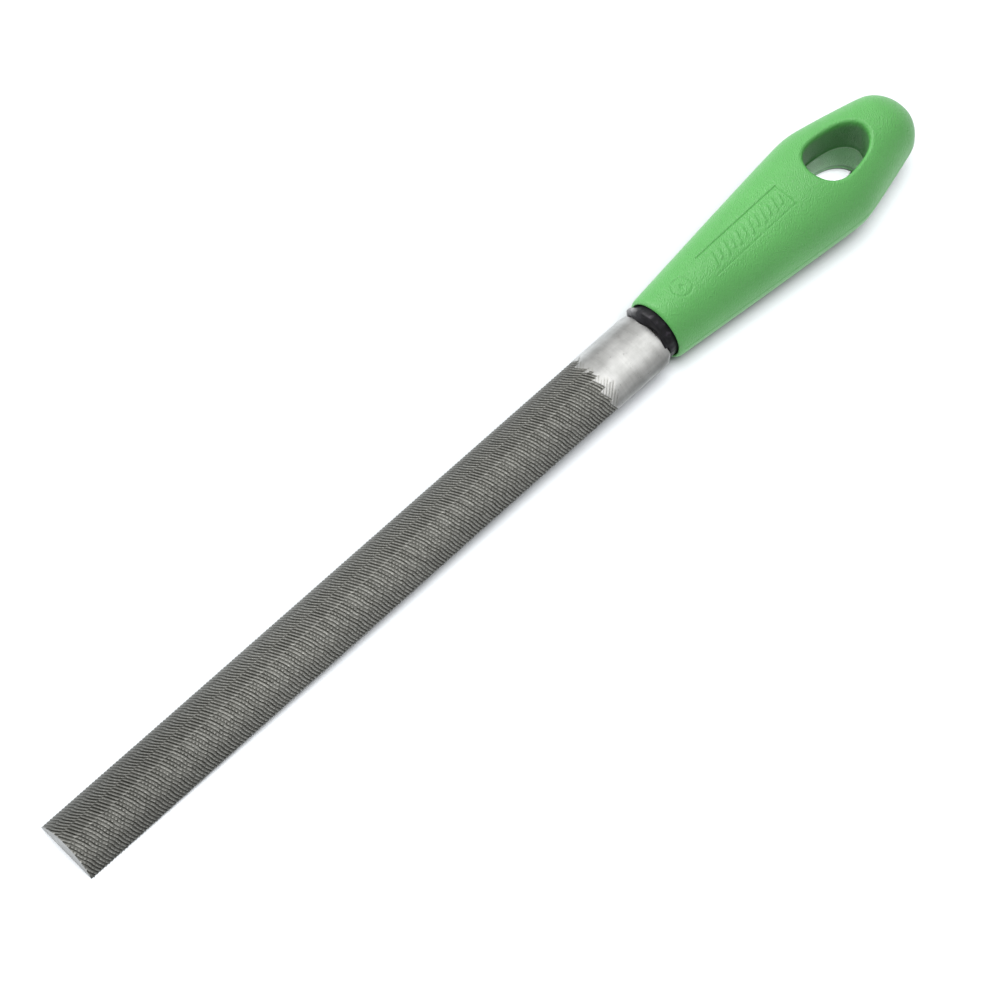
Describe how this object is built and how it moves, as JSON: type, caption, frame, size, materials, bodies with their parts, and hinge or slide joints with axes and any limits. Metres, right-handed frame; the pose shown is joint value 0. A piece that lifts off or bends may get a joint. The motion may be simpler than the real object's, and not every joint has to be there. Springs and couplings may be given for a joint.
{
  "type": "half-round hand file",
  "caption": "Half-round metalworking file, parallel and blunt, with a plastic sleeve on its tang and a moulded handle with a hanging hole.",
  "frame": {"origin": "the middle of the blade's flat face, half way from the tip to the shoulders", "axes": "+X along the file from the tip to the handle, +Z out of the convex side, +Y to the left when looking towards the handle with the convex side up"},
  "size_m": [0.3003, 0.0314, 0.0234],
  "materials": {
    "steel": "hardened tool steel, cut teeth on the blade and a bare ground heel",
    "sleeve_plastic": "black, slightly worn",
    "handle_plastic": "green, fine leather grain"
  },
  "bodies": {
    "root": {"file_blade": "steel", "tang_sleeve": "sleeve_plastic", "moulded_handle": "handle_plastic"}
  },
  "joints": []
}
